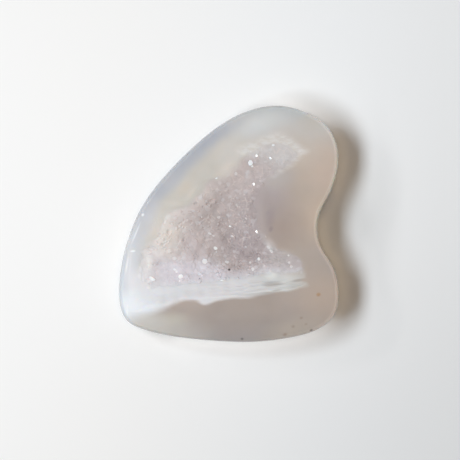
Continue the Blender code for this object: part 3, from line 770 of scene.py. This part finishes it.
def crystalSeeds(random):  # uneven places, one for each crystal, in millimetres
    settings = crustParts
    low, high = rimLoop.min(axis=0) / mm - 1.5, rimLoop.max(axis=0) / mm + 1.5
    step = settings["spacing"]
    seeds = np.array([(x, y) for row, y in enumerate(np.arange(low[1], high[1], step * 0.87))
                      for x in np.arange(low[0] + row % 2 * step / 2, high[0], step)])
    seeds += random.uniform(-1, 1, seeds.shape) * settings["jitter"] * step
    missing = settings["missing"] + 0.33 * smoothStep(-seeds[:, 0], -2, 6)  # the crystals are larger on the left
    kept = (random.random(len(seeds)) > missing) & (signedDistance(seeds * mm, rimLoop) > -1.2 * mm)
    beside = []  # six neighbours round each glint give its facet six corners
    for number, (x, y, length, width, turn, _) in enumerate(settings["glints"]):
        along = (seeds - (x, y)) @ turned(turn)
        kept &= np.hypot(along[:, 0] / (1.9 * length + 0.45), along[:, 1] / (1.9 * width + 0.45)) > 1
        for angle in (np.arange(6) + random.uniform(-0.2, 0.2, 6) + 0.3) * math.pi / 3:
            ring = (math.cos(angle) * (1.9 * length + 0.12), math.sin(angle) * (1.9 * width + 0.12))
            beside.append((number, *((x, y) + turned(turn) @ ring)))
    for number, x, y in beside:
        near = [np.hypot(*((x - x0, y - y0) @ turned(turn) / (1.5 * length + 0.1, 1.5 * width + 0.1)))
                for x0, y0, length, width, turn, _ in settings["glints"]]
        if min(near[:number] + near[number + 1:]) > 1:
            seeds, kept = np.vstack([seeds, (x, y)]), np.append(kept, True)
    return np.vstack([seeds[kept], [glint[:2] for glint in settings["glints"]]])


def crystalCells(seeds):  # the cell round each seed, as rings of shared corners
    found = delaunay_2d_cdt([Vector(seed) for seed in seeds], [], [], 0, 1e-5)
    triangles = np.array([list(face) for face in found[2]])
    corners = seeds[triangles].mean(axis=1)
    around = [[] for _ in seeds]
    for number, triangle in enumerate(triangles):
        for seed in triangle:
            around[seed].append(number)
    cells = []
    for seed, ring in enumerate(around):
        turn = np.arctan2(corners[ring][:, 1] - seeds[seed][1], corners[ring][:, 0] - seeds[seed][0])
        cells.append([ring[k] for k in np.argsort(turn)])
    return corners, cells


def bedHeight(points):
    share = crustShare(points)
    depth = np.where(isInside(points, rimLoop), hollowDepth(points), 0.1 * mm)
    foot = footDistance(points)
    inner = np.min([distanceTo(points, hardRim) / 9, distanceTo(points, softRim) / 4, foot / 4], axis=0) / mm
    lumps = crustParts["lumps"] * smoothStep(inner, 0.15, 1.0) * noiseAt(points, 2.2, 0.3)
    sink = shape["crustSink"] * (1 - share) + 0.3 * smoothStep(-foot, 0.2 * mm, 1.2 * mm)  # deeper under the ledges
    return faceHeight(points) - depth - (sink - lumps) * mm


def mirrorSlope(place):  # how a facet slopes that sends the glint light up into the camera
    light = lampPlace(*studio["glintPlace"])
    half = ((light - place).normalized() + (cameraPlace() - place).normalized()).normalized()
    return -half.x / half.z, -half.y / half.z


def makeCrust():
    settings = crustParts
    random = np.random.default_rng(settings["seed"])
    seeds = crystalSeeds(random)
    corners, cells = crystalCells(seeds)
    wanted = signedDistance(seeds * mm, rimLoop) > -0.45 * mm
    heights = bedHeight(corners * mm)
    tops = bedHeight(seeds * mm)
    x, y = seeds.T
    calm = np.max([  # crystals lie lower at the left, the top, the ledges, the right end and the rim
        0.75 * smoothStep(-x, -2, 6) + 0.25 * smoothStep(-x, 10, 14),
        0.35 * smoothStep(y, -5, -1) + 0.2 * smoothStep(y, 8, 14),
        1 - smoothStep(footDistance(seeds * mm), 0.5 * mm, 3.0 * mm),
        0.75 * smoothStep(x, 11, 14) * (y < 2),
        0.85 * (1 - smoothStep(distanceTo(seeds * mm, hardRim), 6 * mm, 10 * mm))], axis=0)
    strength = smoothStep(crustShare(seeds * mm), 0.25, 1.0) * (1 - calm)
    glints = len(seeds) - len(settings["glints"])
    vertices = [(x * mm, y * mm, z) for (x, y), z in zip(corners, heights)]
    faces, tints, sparks = [], [], []
    for seed in range(len(seeds)):
        ring = cells[seed]
        lean, lift = random.uniform(-1, 1, 2), random.uniform(0.55, 1.45)
        kind, tint = random.random(), random.random()
        slope = random.uniform(-1, 1, 2) * settings["topSlope"] * strength[seed]
        if not wanted[seed] or len(ring) < 3:
            continue
        spread = lengths(corners[ring] - seeds[seed])
        size = spread.mean()
        rise = settings["relief"] * size * lift * strength[seed]
        tip = seeds[seed] + lean * settings["lean"] * spread.min()
        count = len(ring)
        if seed >= glints or kind < settings["flatTops"]:  # a flat facet tops this one
            reach = 0.55 * lengths(corners[ring] - tip)
            spark = 0.0
            if seed >= glints:
                length, width, turn, spark = settings["glints"][seed - glints][2:]
                tip, rise = seeds[seed], 0.1 * size * spark
                along = (corners[ring] - tip) @ turned(turn)
                reach = 1.25 * lengths(along) / np.hypot(along[:, 0] / length, along[:, 1] / width)
                uneven = random.uniform(0.85, 1.15, count)
                reach = np.minimum(0.9 * lengths(corners[ring] - tip), reach * uneven)
            mirrors = spark > 0.75 and length < 0.45
            if mirrors or seed < glints and kind < settings["smallGlints"] and strength[seed] > 0.4:
                slope = mirrorSlope(Vector((*(tip * mm), tops[seed])))
                reach = reach if seed >= glints else reach * 0.6
            first = len(vertices)
            for corner, far in zip(ring, reach):
                flat = tip + (corners[corner] - tip) / np.linalg.norm(corners[corner] - tip) * far
                z = tops[seed] + rise * mm + ((flat - tip) * slope).sum() * mm
                vertices.append((*(flat * mm), z))
            faces.append(list(range(first, first + count)))
            sparks += [spark] + [0.0] * count
            faces += [(ring[k], ring[(k + 1) % count], first + (k + 1) % count, first + k) for k in range(count)]
            tints += [tint] * (count + 1)
        else:
            vertices.append((*(tip * mm), tops[seed] + rise * mm))
            faces += [(ring[k], ring[(k + 1) % count], len(vertices) - 1) for k in range(count)]
            sparks += [0.0] * count
            tints += [tint] * count
    mesh = bpy.data.meshes.new("druzyQuartz")
    mesh.from_pydata(vertices, [], faces)
    crust = bpy.data.objects.new("druzyQuartz", mesh)
    bpy.context.scene.collection.objects.link(crust)
    # the sparks say how strongly each listed flat crystal is painted white as a glint
    for name, values in (("crystalTint", tints), ("paintedGlint", sparks)):
        mesh.attributes.new(name, "FLOAT", "FACE").data.foreach_set("value", values)
    bpy.ops.object.select_all(action="DESELECT")
    crust.select_set(True)
    bpy.context.view_layer.objects.active = crust
    bpy.ops.object.mode_set(mode="EDIT")
    bpy.ops.mesh.select_mode(type="VERT")
    bpy.ops.mesh.select_all(action="SELECT")
    bpy.ops.mesh.delete_loose(use_verts=True, use_edges=True, use_faces=False)
    bpy.ops.mesh.select_all(action="DESELECT")
    bpy.ops.mesh.select_non_manifold()
    bpy.ops.mesh.select_mode(type="EDGE")
    bpy.ops.mesh.extrude_edges_move(TRANSFORM_OT_translate={"value": (0, 0, -settings["slab"] * mm)})
    bpy.ops.mesh.edge_face_add()
    closeUp()
    markDistances(crust)
    return crust


crust = makeCrust()
crust.data.materials.append(makeQuartz())
print("crust:", len(crust.data.polygons), "faces")
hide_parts("druzy_crust")
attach(crust, "root")


# floor, light and camera
def makeFloor():
    bpy.ops.object.select_all(action="DESELECT")
    bpy.ops.mesh.primitive_plane_add(size=4, location=(0, 0, 0))
    floor = bpy.context.object
    floor.name = "paleFloor"
    material, shader = startMaterial("palePaper")
    # painted falloff of the light: the paper grows a little darker to the right and towards the lower right
    fall, x = studio["floorFall"], placeOf("X")
    change = times(ramp(x, -60, 50, 0.17, 1.0), ramp(placeOf("Y"), -60, 60, -fall, fall))
    change = plus(change, ramp(x, -20, 50, 0.0, -studio["floorFade"]))
    # painted shadow on the paper beside the stone's right side, deepening the lamps' shadow
    for place, reach, depth in studio["paintedFloorShadows"]:
        change = plus(change, times(spot(place, reach), -depth))
    # painted against the cool key light: the paper is a little warmer at the left
    paper = layOver(studio["floorLeft"], studio["floorColour"], ramp(x, -35, 30))
    tree.links.new(brighten(paper, change), shader.inputs["Base Color"])
    shader.inputs["Roughness"].default_value = 0.8
    floor.data.materials.append(material)


def addLamp(name, place, turn, size, power, colour, receiver=None):
    bpy.ops.object.light_add(type="AREA", location=place, rotation=turn)
    lamp = bpy.context.object
    lamp.name = name
    lamp.data.shape = "RECTANGLE"
    lamp.data.size, lamp.data.size_y = size
    lamp.data.energy, lamp.data.color = power, colour
    lamp.visible_camera = False
    lamp.light_linking.receiver_collection = receiver
    return lamp


def aimedLamp(name, place, *light):  # a lamp that faces the stone
    place = lampPlace(*place)
    return addLamp(name, place, (-place).to_track_quat("-Z", "Y").to_euler(), *light)


def addGlows(paper):  # light that comes out of the stone low down and falls on the paper beside it
    size = [side * mm for side in studio["glowSize"]]
    normals = outwardNormals(outlineLoop)
    for number in range(0, len(outlineLoop), studio["glowStep"]):
        (x, y), (across, up) = outlineLoop[number] / mm, normals[number]
        below = smoothStep(-up, 0.35, 0.8) * smoothStep(x, -15, -9)
        above = 0.8 * smoothStep(y, 18, 21) * smoothStep(x, 6, 12)
        right = 0.3 * smoothStep(across, 0.45, 0.8) * smoothStep(x, 8, 12)
        place = Vector((x + studio["glowOut"] * across, y + studio["glowOut"] * up, studio["glowHeight"])) * mm
        for strength, colour in ((below + above, (1, 1, 1)), (right, studio["glowColour"])):
            if strength > 0.05:
                glow = addLamp("paperGlow", place, (0, 0, math.atan2(across, -up)), size,
                               studio["glowPower"] * strength, colour, paper)
                glow.visible_glossy = False


def makeLights():
    for name, pieces in (("stone", (stone, crust)), ("paper", (bpy.data.objects["paleFloor"],))):
        lit, own = bpy.data.collections.new(name + "Only"), studio[name]
        for piece in pieces:
            lit.objects.link(piece)
        key = aimedLamp(name + "Key", own["keyPlace"], own["keySize"], own["keyPower"], studio["keyColour"], lit)
        top = aimedLamp(name + "Top", studio["topPlace"], studio["topSize"], own["topPower"], own["topColour"], lit)
        key.visible_glossy = top.visible_glossy = False
    addGlows(lit)  # on the paper alone
    aimedLamp("glintLight", studio["glintPlace"], studio["glintSize"], studio["glintPower"], (1, 1, 1))
    world = bpy.data.worlds.new("studioAir")
    bpy.context.scene.world = world
    world.use_nodes = True
    sky = world.node_tree.nodes["Background"]
    sky.inputs["Color"].default_value = studio["skyColour"]
    sky.inputs["Strength"].default_value = studio["skyStrength"]


def makeCamera():
    bpy.ops.object.camera_add(location=cameraPlace(), rotation=(0, 0, 0))
    camera = bpy.context.object
    camera.name = "topCamera"
    camera.data.lens = studio["lens"]
    camera.data.sensor_width = studio["sensor"]
    camera.data.clip_start = 0.01
    bpy.context.scene.camera = camera


makeFloor()
makeLights()
makeCamera()
bpy.context.scene.view_settings.view_transform = "Standard"
print("floor, lights and camera set")
